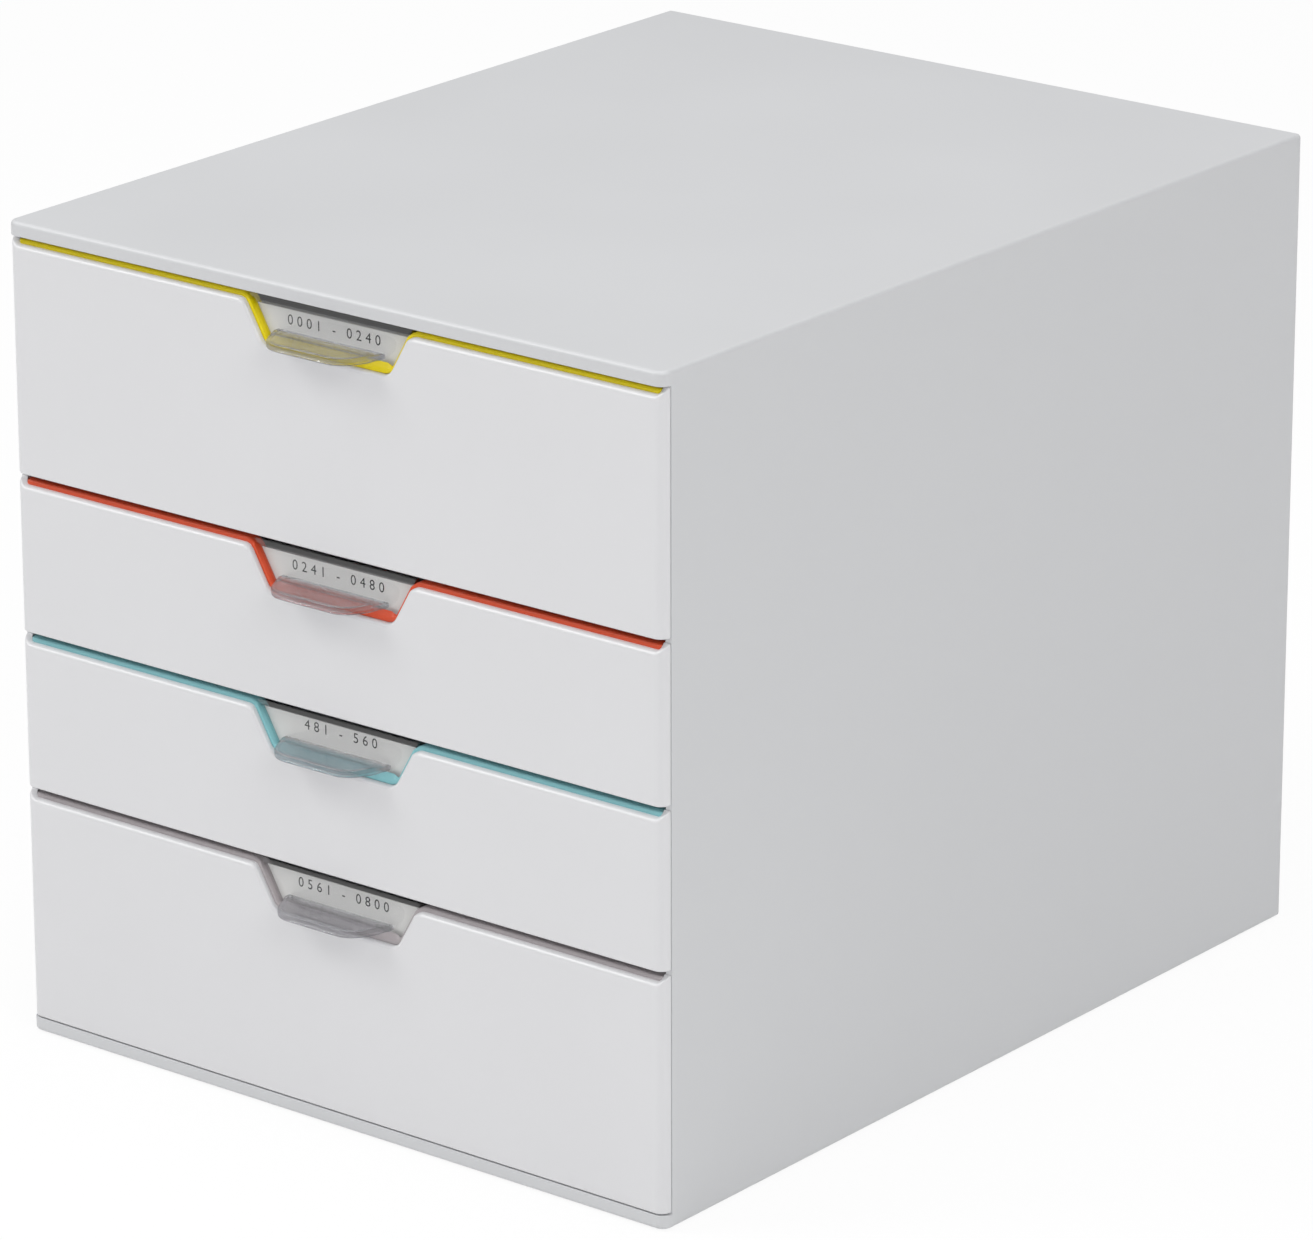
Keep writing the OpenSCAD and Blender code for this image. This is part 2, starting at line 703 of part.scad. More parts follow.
// The floor rises from the front edge of the lining to the window, and stays under the lip
module pocket_floor() {
    low = lining_t + fit_gap - pocket_drop;
    high = min(low + ramp_rise, -lip_drop - lip_t - fit_gap);
    rear = window_y - fit_gap;
    intersection() {
        along_x(pocket_top_w)
            polygon([[lining_recess, low - root], [lining_recess, low],
                [rear, high], [rear, low - root]]);
        along_y(0, front_wall_y) polygon(window_outline(lining_t / 2, 0));
    }
}

// Clear grip: a window in the pocket with a lip that stands out through the cover
module handle(d) color("#dfe4e6", 0.5) placed() translate([0, 0, cell_top(d) - cover_drop]) {
    along_y(window_y, window_y + window_t)
        polygon(window_outline(lining_t + 2 * fit_gap, accent_rise - window_dip));
    translate([0, 0, -lip_drop - lip_t]) linear_extrude(lip_t) polygon(lip_outline(0));
    // bead along the free edge of the lip
    translate([0, 0, -lip_drop + bead_rise - bead_h]) linear_extrude(bead_h) intersection() {
        difference() {
            polygon(lip_outline(0));
            polygon(lip_outline(bead_t));
        }
        translate([-lip_root_w, -lip_reach]) square([2 * lip_root_w, lip_reach]);
    }
}

// Label card behind the window
module label(d) color("#f1f1ee") placed() translate([0, 0, cell_top(d) - cover_drop])
    along_y(card_y, card_y + card_t)
        polygon(window_outline(lining_t + 2 * fit_gap, -card_dip));

housing_shell();
rear_panel();
runner_left();
runner_right();
for (e = ENDS, s = SIDES)
    foot(e, s);
for (d = [1:drawer_count]) {
    name = str("drawer_", d, "_");
    tray(d);
    cover(d);
    accent(d, TINTS[(d - 1) % len(TINTS)]);
    handle(d);
    label(d);
}
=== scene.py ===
# %% [markdown]
# # A desk drawer tower
# The object is a grey sleeve of moulded plastic with four drawers. Each drawer shows a glossy
# cover, a coloured trim that lines a pocket in the cover's top edge, and a clear grip in front
# of a label card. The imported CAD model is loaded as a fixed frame. It already has the right
# sizes, so every new piece is worked out from the same named sizes and put where the CAD says.

import json
import math

import bmesh
import bpy
import numpy as np
from mathutils import Matrix, Vector

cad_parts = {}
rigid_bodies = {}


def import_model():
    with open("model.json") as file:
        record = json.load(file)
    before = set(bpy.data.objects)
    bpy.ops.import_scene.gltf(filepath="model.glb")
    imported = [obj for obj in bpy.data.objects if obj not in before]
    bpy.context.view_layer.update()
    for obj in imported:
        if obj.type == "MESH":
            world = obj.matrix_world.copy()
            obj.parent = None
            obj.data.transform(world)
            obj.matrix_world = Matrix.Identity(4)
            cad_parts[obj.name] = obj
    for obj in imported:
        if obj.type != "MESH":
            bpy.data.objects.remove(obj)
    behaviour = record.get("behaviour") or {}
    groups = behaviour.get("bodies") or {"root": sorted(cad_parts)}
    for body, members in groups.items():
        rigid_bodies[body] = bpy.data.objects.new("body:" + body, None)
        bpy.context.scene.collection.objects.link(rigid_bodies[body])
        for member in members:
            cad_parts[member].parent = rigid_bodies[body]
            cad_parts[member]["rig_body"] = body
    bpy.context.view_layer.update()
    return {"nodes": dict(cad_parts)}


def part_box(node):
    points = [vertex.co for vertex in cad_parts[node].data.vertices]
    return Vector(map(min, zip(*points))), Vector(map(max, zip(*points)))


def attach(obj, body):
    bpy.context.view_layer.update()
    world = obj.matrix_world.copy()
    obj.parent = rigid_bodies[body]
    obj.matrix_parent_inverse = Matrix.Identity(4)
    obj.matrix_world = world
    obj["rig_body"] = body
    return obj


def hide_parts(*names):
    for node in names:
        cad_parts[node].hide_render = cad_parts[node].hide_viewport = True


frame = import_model()

# %% [markdown]
# ## Sizes
# All sizes are written in millimetres, as a maker would say them. The front plane of the covers
# is where the y of every section starts, and `to_frame` turns such a point into metres in the
# frame. The height of each drawer's cell is read from its cover, so nothing is measured twice.

# %% Named sizes of the front
COVER_HALF = 139.65
COVER_SKIN = 2.5
COVER_CORNER = 4.0
RETURN_DEPTH = 3.85
EAR_RISE = 2.3
EAR_TURN = math.radians(80)
TOP_ROUND = 2.0
BOTTOM_ROUND = 0.7
STRIP_RISE = 1.6
STRIP_HALF = 137.0
STRIP_CORNER = 1.35
POCKET_TOP = 70.7
POCKET_BOTTOM = 53.6
POCKET_DEPTH = 14.9
POCKET_FOOT_R = 5.5
LINING = 1.15
LINING_Y = 2.1
FRONT_WALL_Y = 6.9
WINDOW_Y = (3.5, 4.98)
WINDOW_TOP = 1.8
WINDOW_GAP = 0.15
CARD_Y = (5.04, 5.4)
LIP_TOP = -8.7
LIP_T = 1.8
LIP_REACH = 11.7

FRONT_Y = 1000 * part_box("drawer_1_cover")[0].y


def to_frame(points):
    """Millimetres behind the front plane become metres in the frame: y moves by the front
    plane's own y, and everything is divided by 1000."""
    return (np.asarray(points, float) + [0.0, FRONT_Y, 0.0]) / 1000.0


def edge_height(number):
    """Height in mm of a cover's top edge: the top of its raised ends less their rise."""
    return 1000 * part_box(f"drawer_{number}_cover")[1].z - EAR_RISE


DRAWERS = (1, 2, 3, 4)
print("cover edges at", [round(edge_height(n), 2) for n in DRAWERS], "mm")

# %% [markdown]
# ## Camera
# The photograph was taken from a long way off to the right of the front and a little above it,
# so the camera gets a long lens. A camera looks along its own -Z axis, so its matrix is built
# from the direction it looks in and from what is right for it.

# %% Camera
EYE = Vector((1.4828, -1.86345, 0.9629))
LOOK = Vector((-0.58800, 0.73899, -0.32887)).normalized()
RIGHT = Vector((0.78288, 0.62216, -0.00172))
LENS_MM = 199.3

right = (RIGHT - LOOK * RIGHT.dot(LOOK)).normalized()
up = right.cross(LOOK)
camera = bpy.data.objects.new("camera", bpy.data.cameras.new("camera"))
camera.data.lens = LENS_MM
camera.data.sensor_width = 36.0
camera.data.clip_start = 0.05
camera.matrix_world = Matrix.Translation(EYE) @ Matrix((right, up, -LOOK)).transposed().to_4x4()
bpy.context.scene.collection.objects.link(camera)
bpy.context.scene.camera = camera
print("camera is", round(EYE.length, 2), "m from the tower, lens", LENS_MM, "mm")

# %% [markdown]
# ## Helpers for materials
# Colours are chosen as sRGB hex values, which is how a picture shows them, while the renderer
# counts light in linear values. One function turns one into the other. A second one adds a
# shader node with its settings and its links, so that a material reads like a recipe.


# %% Helpers for materials
def linear(hex_code):
    """Each channel c of the sRGB colour becomes c/12.92 where it is dark, and otherwise
    ((c + 0.055) / 1.055) to the power 2.4."""
    c = np.array([int(hex_code[i:i + 2], 16) for i in (1, 3, 5)]) / 255.0
    c = np.where(c <= 0.04045, c / 12.92, ((c + 0.055) / 1.055) ** 2.4)
    return (*c.tolist(), 1.0)


def add(material, kind, inputs=None, **settings):
    """Adds a node. Settings are its own properties. An input is a value, or a pair (node,
    output) that is linked to it."""
    tree = material.node_tree
    node = tree.nodes.new(kind)
    for name, value in settings.items():
        setattr(node, name, value)
    for name, value in (inputs or {}).items():
        if isinstance(value, tuple) and isinstance(value[0], bpy.types.Node):
            tree.links.new(value[0].outputs[value[1]], node.inputs[name])
        else:
            node.inputs[name].default_value = value
    return node


def new_material(name):
    """An empty node material with its output, which is returned too."""
    material = bpy.data.materials.new(name)
    material.use_nodes = True
    material.node_tree.nodes.clear()
    return material, material.node_tree.nodes.new("ShaderNodeOutputMaterial")


def per_mm(size_mm):
    """Scale of a noise on Object coordinates, in metres, whose grains are size_mm wide."""
    return 1000.0 / size_mm


# %% [markdown]
# ## Moulded plastics
# The sleeve, the trays and the trim are injection-moulded polystyrene and ABS. Such a part takes
# its skin from the mould: a fine spark-eroded grain on the sleeve, a near polish on the covers.
# Both also have a faint unevenness from the way the melt cools, some hundred millimetres wide,
# which shows in the gloss more than in the colour. The real grain is about 0.2 mm and too fine
# for the render, so it is drawn 0.9 mm wide and kept very shallow.


# %% Moulded plastics
def moulded_plastic(name, colour, roughness, grain_mm, grain_height_mm, flow_mm=90.0,
                    coat=0.0, ior=1.55):
    """Colour and roughness drift slowly over flow_mm, by 1.5% and 7% either way, and a bump of
    grain_mm roughens the skin."""
    material, output = new_material(name)
    base = np.array(linear(colour))
    place = add(material, "ShaderNodeTexCoord")
    flow = add(material, "ShaderNodeTexNoise", {
        "Vector": (place, "Object"), "Scale": per_mm(flow_mm), "Detail": 2.0, "Roughness": 0.4})
    tint = add(material, "ShaderNodeMix", {
        "Factor": (flow, "Fac"),
        "A": (*(base[:3] * 0.985).tolist(), 1.0),
        "B": (*np.minimum(base[:3] * 1.015, 1.0).tolist(), 1.0)}, data_type="RGBA")
    sheen = add(material, "ShaderNodeMapRange", {
        "Value": (flow, "Fac"), "From Min": 0.3, "From Max": 0.7,
        "To Min": roughness * 0.93, "To Max": roughness * 1.07})
    grain = add(material, "ShaderNodeTexNoise", {
        "Vector": (place, "Object"), "Scale": per_mm(grain_mm), "Detail": 3.0,
        "Roughness": 0.55})
    bump = add(material, "ShaderNodeBump", {
        "Height": (grain, "Fac"), "Strength": 1.0, "Distance": grain_height_mm / 1000.0})
    shader = add(material, "ShaderNodeBsdfPrincipled", {
        "Base Color": (tint, 2), "Roughness": (sheen, "Result"), "Normal": (bump, "Normal"),
        "IOR": ior, "Coat Weight": coat, "Coat Roughness": 0.12})
    material.node_tree.links.new(shader.outputs[0], output.inputs[0])
    return material


# %% [markdown]
# The sleeve is a light cool grey with an even, half-matt grain. The covers are whiter and
# smoother. The trim colours are the strong, slightly warm ones of coloured ABS.

# %% Plastics of this tower
grained_sleeve = moulded_plastic("grained_polystyrene_sleeve", "#d6d7d9", 0.42, 0.9, 0.012)
smooth_cover = moulded_plastic("smooth_polystyrene_cover", "#e4e4e6", 0.32, 2.2, 0.004,
                               flow_mm=60.0, coat=0.08)
tray_plastic = moulded_plastic("translucent_white_polystyrene_tray", "#dddee0", 0.38, 1.2, 0.01)
runner_plastic = moulded_plastic("grey_polypropylene_runner", "#c9cacc", 0.5, 1.0, 0.012)
foot_rubber = moulded_plastic("black_nitrile_foot", "#2e2f31", 0.78, 0.6, 0.02, flow_mm=8.0)
TRIM_COLOURS = ("#f4de00", "#e25530", "#8ecbd1", "#b5aeb0")
trims = [moulded_plastic(f"coloured_abs_trim_{n}", c, 0.36, 1.0, 0.005, flow_mm=30.0, ior=1.42)
         for n, c in zip(DRAWERS, TRIM_COLOURS)]
print("plastics:", len(trims) + 5)

# %% [markdown]
# ## Clear plastic
# The grips are styrene acrylonitrile, a stiff clear plastic. The lip is thick and curved, so it
# needs a real glass shader that bends the light, with a faint flow texture in its polished skin.
# Glass alone would make it a dark bead, because so small a lip gathers the dark gaps around it.
# The picture shows it clearer, so the larger share of the light goes straight through.
# The window is thin, flat and close to its card, so it bends nothing that one could see: it
# lets the light straight through and only mirrors a share of it, by Fresnel's law. Its two
# faces mirror about twice as much as one, which an index of refraction of 1.7 on the front face
# stands for, and its back face adds nothing.


# %% Clear plastic
def flow_bump(material, size_mm, height_mm):
    """The faint unevenness of a polished moulding: a smooth noise of size_mm."""
    place = add(material, "ShaderNodeTexCoord")
    ripple = add(material, "ShaderNodeTexNoise", {
        "Vector": (place, "Object"), "Scale": per_mm(size_mm), "Detail": 1.0})
    bump = add(material, "ShaderNodeBump", {
        "Height": (ripple, "Fac"), "Strength": 1.0, "Distance": height_mm / 1000.0})
    return ripple, bump


clear_lip, output = new_material("clear_styrene_acrylonitrile_lip")
ripple, bump = flow_bump(clear_lip, 9.0, 0.004)
skin = add(clear_lip, "ShaderNodeMapRange", {
    "Value": (ripple, "Fac"), "To Min": 0.02, "To Max": 0.06})
shader = add(clear_lip, "ShaderNodeBsdfPrincipled", {
    "Base Color": linear("#efeff0"), "Roughness": (skin, "Result"), "IOR": 1.5,
    "Transmission Weight": 1.0, "Normal": (bump, "Normal")})
straight = add(clear_lip, "ShaderNodeBsdfTransparent", {"Color": linear("#e6e6e8")})
STRAIGHT_SHARE = 0.62
mixed = add(clear_lip, "ShaderNodeMixShader", {
    0: STRAIGHT_SHARE, 1: (shader, 0), 2: (straight, 0)})
clear_lip.node_tree.links.new(mixed.outputs[0], output.inputs[0])

clear_window, output = new_material("clear_styrene_acrylonitrile_window")
ripple, bump = flow_bump(clear_window, 9.0, 0.005)
mirror = add(clear_window, "ShaderNodeFresnel", {"IOR": 1.7})
face = add(clear_window, "ShaderNodeNewGeometry")
front_only = add(clear_window, "ShaderNodeMath", {0: 1.0, 1: (face, "Backfacing")},
                 operation="SUBTRACT")
share = add(clear_window, "ShaderNodeMath", {0: (mirror, 0), 1: (front_only, 0)},
            operation="MULTIPLY")
through = add(clear_window, "ShaderNodeBsdfTransparent", {"Color": linear("#fbfbfb")})
gloss = add(clear_window, "ShaderNodeBsdfAnisotropic", {
    "Color": (1, 1, 1, 1), "Roughness": 0.03, "Normal": (bump, "Normal")})
mixed = add(clear_window, "ShaderNodeMixShader", {
    0: (share, 0), 1: (through, 0), 2: (gloss, 0)})
clear_window.node_tree.links.new(mixed.outputs[0], output.inputs[0])

# %% [markdown]
# ## Paper and ink
# The label is an uncoated card. Its fibres lie every way, about a millimetre long, and make it
# a little uneven. The numbers are printed in a soft black that soaks in and has no gloss.


# %% Paper and ink
def matt_fibres(name, colour, contrast, roughness):
    """Two stretched noises, crossed, darken the colour by the contrast and lift the surface."""
    material, output = new_material(name)
    base = np.array(linear(colour))
    place = add(material, "ShaderNodeTexCoord")
    along = add(material, "ShaderNodeMapping", {
        "Vector": (place, "Object"), "Scale": (0.25, 1.0, 1.0)})
    across = add(material, "ShaderNodeMapping", {
        "Vector": (place, "Object"), "Scale": (1.0, 1.0, 0.25)})
    fibres = [add(material, "ShaderNodeTexNoise", {
        "Vector": (m, "Vector"), "Scale": per_mm(0.5), "Detail": 2.0}) for m in (along, across)]
    both = add(material, "ShaderNodeMath", {0: (fibres[0], "Fac"), 1: (fibres[1], "Fac")},
               operation="MULTIPLY")
    tint = add(material, "ShaderNodeMix", {
        "Factor": (both, 0), "A": (*(base[:3] * (1 - contrast)).tolist(), 1.0),
        "B": (*base[:3].tolist(), 1.0)}, data_type="RGBA")
    bump = add(material, "ShaderNodeBump", {
        "Height": (both, 0), "Strength": 0.6, "Distance": 0.00002})
    shader = add(material, "ShaderNodeBsdfPrincipled", {
        "Base Color": (tint, 2), "Roughness": roughness, "Normal": (bump, "Normal")})
    material.node_tree.links.new(shader.outputs[0], output.inputs[0])
    return material


label_card = matt_fibres("uncoated_label_card", "#f2f2f0", 0.08, 0.85)
label_ink = matt_fibres("soft_black_ink", "#141416", 0.2, 0.7)

# %% [markdown]
# ## Helpers for shapes
# Most pieces here are a section carried along an outline. Both are arrays of points, and the
# surface is the grid that they span, so a shape is one formula on two parameters. The section
# is a closed loop, so a shape that runs from one end to the other only needs a cap at each end.


# %% Helpers for shapes
def tube_faces(rows, columns):
    """Four-sided faces between each row of a grid and the next, where every row is a closed
    loop, and one face that caps the loop at either end."""
    i, j = np.meshgrid(np.arange(rows - 1), np.arange(columns), indexing="ij")
    k = (j + 1) % columns
    quads = np.stack([i * columns + j, i * columns + k,
                      (i + 1) * columns + k, (i + 1) * columns + j], -1).reshape(-1, 4)
    first = np.arange(columns)[::-1]
    last = (rows - 1) * columns + np.arange(columns)
    return quads.tolist() + [first.tolist(), last.tolist()]


def make_piece(name, shells, body, material, sharp_degrees=35.0):
    """One object from closed shells, each a grid (row, column, xyz) in mm behind the front
    plane. Its faces are turned outwards and its flat faces kept flat by weighted normals."""
    bm = bmesh.new()
    for grid in shells:
        rows, columns = grid.shape[:2]
        points = [bm.verts.new(p) for p in to_frame(grid.reshape(-1, 3)).tolist()]
        for face in tube_faces(rows, columns):
            bm.faces.new([points[i] for i in face])
    bmesh.ops.remove_doubles(bm, verts=bm.verts, dist=2e-7)
    bmesh.ops.dissolve_degenerate(bm, edges=bm.edges, dist=1e-7)
    bmesh.ops.recalc_face_normals(bm, faces=bm.faces)
    mesh = bpy.data.meshes.new(name)
    bm.to_mesh(mesh)
    bm.free()
    return finish_piece(name, mesh, body, material, sharp_degrees)


def finish_piece(name, mesh, body, material, sharp_degrees=35.0):
    """Smooth shading up to the sharp angle, the material, and the body that the piece rides."""
    mesh.polygons.foreach_set("use_smooth", np.ones(len(mesh.polygons), bool))
    mesh.set_sharp_from_angle(angle=math.radians(sharp_degrees))
    mesh.materials.append(material)
    piece = bpy.data.objects.new(name, mesh)
    bpy.context.scene.collection.objects.link(piece)
    weighted = piece.modifiers.new("flat faces stay flat", "WEIGHTED_NORMAL")
    weighted.keep_sharp = True
    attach(piece, body)
    return piece


# %% [markdown]
# Outlines are drawn as a few corner points, each with a radius. `rounded` puts an arc in each
# corner: the arc's ends lie at radius / tan(half the corner's angle) from the corner, and its
# centre on the line that halves the angle.


# %% Outlines
def rounded(corners, radii, steps=10):
    """The polyline through the corners with an arc of the given radius in each of them."""
    p = np.asarray(corners, float)
    line = [p[:1]]
    for before, corner, after, r in zip(p[:-2], p[1:-1], p[2:], radii):
        u = (before - corner) / np.linalg.norm(before - corner)
        v = (after - corner) / np.linalg.norm(after - corner)
        half = math.acos(float(np.clip(u @ v, -1, 1))) / 2
        centre = corner + (u + v) / np.linalg.norm(u + v) * r / math.sin(half)
        a, b = (corner + d * r / math.tan(half) - centre for d in (u, v))
        f = np.linspace(0, 1, steps + 1)[:, None]
        sweep = math.pi - 2 * half
        line.append(centre + (np.sin((1 - f) * sweep) * a + np.sin(f * sweep) * b)
                    / math.sin(sweep))
    return np.vstack(line + [p[-1:]])


def refined(line, longest):
    """The same polyline with its long straight stretches cut to at most `longest`."""
    step = np.linalg.norm(np.diff(line, axis=0), axis=1)
    length = np.r_[0, np.cumsum(step)]
    extra = np.linspace(0, length[-1], max(2, int(length[-1] / longest)))
    at = np.union1d(length.round(6), extra.round(6))
    keep = np.r_[True, np.diff(at) > 0.05]
    at = at[keep]
    return np.stack([np.interp(at, length, line[:, k]) for k in (0, 1)], -1)


def free_side(line):
    """Unit normals of an outline drawn from left to right: its direction turned left."""
    d = np.gradient(line, axis=0)
    d /= np.linalg.norm(d, axis=1)[:, None]
    return np.stack([-d[:, 1], d[:, 0]], -1)


def ease(x, start, end):
    """0 before start and 1 after end, with the curve 3x^2 - 2x^3 between them."""
    t = np.clip((np.asarray(x, float) - start) / (end - start), 0, 1)
    return t * t * (3 - 2 * t)


# %% [markdown]
# ## The pocket
# All four fronts share one pocket: a trapezoid that opens upwards, with rounded corners. The
# cover is cut along it, the trim lines it, and the window fills it, so one function draws it
# for any inset from the cut.


# %% The pocket's outline
SLOPE = (POCKET_TOP - POCKET_BOTTOM) / 2 / POCKET_DEPTH
TILT = math.atan(SLOPE)


def pocket_corners(inset, level):
    """Corners (x, z) of the pocket drawn in by the inset: its walls' foot at the bottom, and
    the points where they meet the level."""
    half = POCKET_TOP / 2 - inset / math.cos(TILT)
    foot = half - (POCKET_DEPTH - inset) * SLOPE
    top = half + level * SLOPE
    return [[-top, level], [-foot, inset - POCKET_DEPTH], [foot, inset - POCKET_DEPTH],
            [top, level]]


print("pocket:", POCKET_TOP, "mm wide above and", POCKET_BOTTOM, "mm below")

# %% [markdown]
# ## Covers
# A cover is a moulded skin whose ends wrap round the corners of the tower. It is easiest to
# draw flat, as a strip, and then to wrap it: s runs along the front, t goes inwards from the
# face and z up. The section at each s goes up the face, over the rounded top edge, down the
# back and round the bottom edge. The top edge is a rounded outline that dips into the pocket
# and rises in the small ears at the ends. Its rounding of 2 mm is drawn square to that outline,
# and is smaller in the pocket and in the ears.


# %% Covers
def wrapped(s, t, z):
    """The flat strip laid round the front: straight up to the corner, then on an arc whose
    radius is the corner's less the depth t."""
    straight = COVER_HALF - COVER_CORNER
    over = np.clip(np.abs(s) - straight, 0, None) / COVER_CORNER
    r = COVER_CORNER - t
    x = np.sign(s) * (np.minimum(np.abs(s), straight) + r * np.sin(over))
    return np.stack([x, COVER_CORNER - r * np.cos(over), z], -1)


MOUTH_R = 4.5
POCKET_ROUND = 1.2
EAR_ROUND = 0.55


def cover_grid(height):
    """Section loops of one cover, height being that of its face below the top edge."""
    turn = math.acos(1 - RETURN_DEPTH / COVER_CORNER)
    end = COVER_HALF - COVER_CORNER + COVER_CORNER * turn
    pocket = pocket_corners(0.0, 0.0)
    straight = COVER_HALF - COVER_CORNER
    f = np.linspace(0, 1, 9)[:, None]
    climb = np.hstack([straight + f * COVER_CORNER * EAR_TURN,
                       EAR_RISE * (1 - np.cos(f * math.pi / 2))])
    climb = np.vstack([climb, [[end, EAR_RISE]]])
    middle = rounded([[-straight, 0]] + pocket + [[straight, 0]],
                     [MOUTH_R, POCKET_FOOT_R, POCKET_FOOT_R, MOUTH_R])
    line = np.vstack([climb[:0:-1] * [-1, 1], refined(middle, 6.0), climb[1:]])
    normal = free_side(line)
    s, z = line[:, 0], line[:, 1]
    in_ear = ease(np.abs(s), straight, straight + COVER_CORNER)
    in_pocket = ease(z, -0.2, -1.5)
    r = (TOP_ROUND - (TOP_ROUND - POCKET_ROUND) * in_pocket
         - (TOP_ROUND - EAR_ROUND) * in_ear)
    loop = []
    for a in np.linspace(math.pi / 2, 0, 6):
        loop.append((s, np.full_like(s, BOTTOM_ROUND * (1 - math.cos(a))),
                     np.full_like(s, -height + BOTTOM_ROUND * (1 - math.sin(a)))))
    upper_s, upper_z = s - normal[:, 0] * r, z - normal[:, 1] * r
    for f in (0.5, 0.9):
        loop.append((s + f * (upper_s - s), np.zeros_like(s),
                     -height + BOTTOM_ROUND + f * (upper_z + height - BOTTOM_ROUND)))
    for a in np.linspace(0, math.pi / 2, 6):
        back = r * (1 - math.sin(a))
        loop.append((s - normal[:, 0] * back, r * (1 - math.cos(a)), z - normal[:, 1] * back))
    for level in (z, np.full_like(z, -height)):
        loop.append((s, np.full_like(s, COVER_SKIN), level))
    return np.stack([wrapped(*node) for node in loop], 1)


def bar(x, y, z):
    """A straight bar along X between two x, with its section given by two y and two z."""
    section = [(y[0], z[0]), (y[1], z[0]), (y[1], z[1]), (y[0], z[1])]
    return np.array([[(e, *p) for p in section] for e in x], float)


def raised(grid, height):
    return grid + np.array([0.0, 0.0, height])


WEB_Y = (COVER_SKIN - 0.1, 6.6)
WEB_T = 1.4

for n in DRAWERS:
    top = edge_height(n)
    height = top - 1000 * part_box(f"drawer_{n}_cover")[0].z
    web = bar((-STRIP_HALF, STRIP_HALF), WEB_Y, (-height, WEB_T - height))
    cover = make_piece(f"cover_{n}", [raised(cover_grid(height), top), raised(web, top)],
                       f"drawer_{n}", smooth_cover)
    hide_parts(f"drawer_{n}_cover")
    print(cover.name, len(cover.data.polygons), "faces,", round(height, 1), "mm high")

# %% [markdown]
# ## Trim
# The coloured trim is one moulding. From the front it is a thin bar above the cover's edge
# which turns down into the pocket and lines its walls and its sloping floor. It is drawn as a
# ribbon along the pocket's outline: where the ribbon leaves the strip for the pocket, its front
# edge moves forward from the back of the cover's skin to about 2 mm behind its face, and its
# thickness goes from 2 mm to 1 mm. On the pocket's floor the ribbon climbs towards the window.


# %% Trim
LINING_RADII = (5.6, 4.35, 4.35, 5.6)
STRIP_T = 2.0
LINING_T = 1.0
STRIP_ROUND = 0.9
LINING_ROUND = 0.35
CLIMB = 2.4
CLIMB_LENGTH = 1.2
CLIMB_END_Y = 3.4


def trim_grid():
    """Section loops of the ribbon: front edge rounded, then back along the free side, and
    forward again below it. Its ends are rounded to fit in the cover's corners."""
    straight = STRIP_HALF - STRIP_CORNER
    inner = pocket_corners(LINING, STRIP_RISE)
    line = rounded([[-straight, STRIP_RISE]] + inner + [[straight, STRIP_RISE]],
                   LINING_RADII)
    turn = np.linspace(0, math.pi / 2, 6)[1:]
    end = np.stack([straight + STRIP_CORNER * np.sin(turn), 0 * turn + STRIP_RISE], -1)
    line = np.vstack([end[::-1] * [-1, 1], refined(line, 6.0), end])
    beyond = np.clip(np.abs(line[:, 0]) - straight, 0, STRIP_CORNER)
    corner = STRIP_CORNER - np.sqrt(STRIP_CORNER ** 2 - beyond ** 2)
    normal = free_side(line)
    x, z = line[:, 0], line[:, 1]
    lining = ease(z, 0.5, -0.7)
    floor = ease(normal[:, 1], 0.6, 1.0) * ease(z, -8.0, -11.0)
    front = COVER_SKIN + (LINING_Y - COVER_SKIN) * lining + corner
    r = STRIP_ROUND - (STRIP_ROUND - LINING_ROUND) * lining
    thick = STRIP_T - (STRIP_T - LINING_T) * lining

    def node(y, below):
        share = np.clip((y - LINING_Y) / CLIMB_LENGTH, 0, 1) * (y < CLIMB_END_Y)
        climb = CLIMB * floor * share
        rise = climb - below
        return np.stack([x + normal[:, 0] * rise, y + 0 * x, z + normal[:, 1] * rise], -1)

    loop = [node(front + r * (1 - math.cos(a)), r * (1 - math.sin(a)))
            for a in np.linspace(0, math.pi / 2, 6)]
    loop += [node(np.full_like(x, y), 0 * x)
             for y in (CLIMB_END_Y - 0.01, CLIMB_END_Y + 0.01, FRONT_WALL_Y)]
    loop += [node(np.full_like(x, FRONT_WALL_Y), thick), node(front, thick)]
    return np.stack(loop, 1)


def plate_behind(outline, y, top):
    """A flat plate between two y: columns between the top line and the bottom of the strip."""
    x = outline[:, 0]
    low = np.full_like(x, top)
    high = outline[:, 1]
    loop = [(y[0], low), (y[1], low), (y[1], high), (y[0], high)]
    return np.stack([np.stack([x, np.full_like(x, d), z], -1) for d, z in loop], 1)


FLANGE_BELOW = 1.2
FLANGE_Y = (2.62, 4.4)
FLANGE_DEPTH = 22.0
SUPPORT_Y = (5.5, 6.85)
SUPPORT_Z = (-12.4, -3.0)

flange_half = STRIP_HALF - STRIP_CORNER
flange_top = STRIP_RISE - FLANGE_BELOW
strip_corners = [[x, z - FLANGE_BELOW] for x, z in pocket_corners(LINING, STRIP_RISE)]
strip_line = refined(rounded([[-flange_half, flange_top], *strip_corners,
                              [flange_half, flange_top]], LINING_RADII), 8.0)
flange = plate_behind(strip_line, FLANGE_Y, STRIP_RISE - FLANGE_DEPTH)
foot_half = POCKET_BOTTOM / 2 - 3.0
support = bar((-foot_half, foot_half), SUPPORT_Y, SUPPORT_Z)
for n in DRAWERS:
    top = edge_height(n)
    trim = make_piece(f"trim_{n}", [raised(g, top) for g in (trim_grid(), flange, support)],
                      f"drawer_{n}", trims[n - 1])
    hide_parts(f"drawer_{n}_accent")
    print(trim.name, len(trim.data.polygons), "faces")

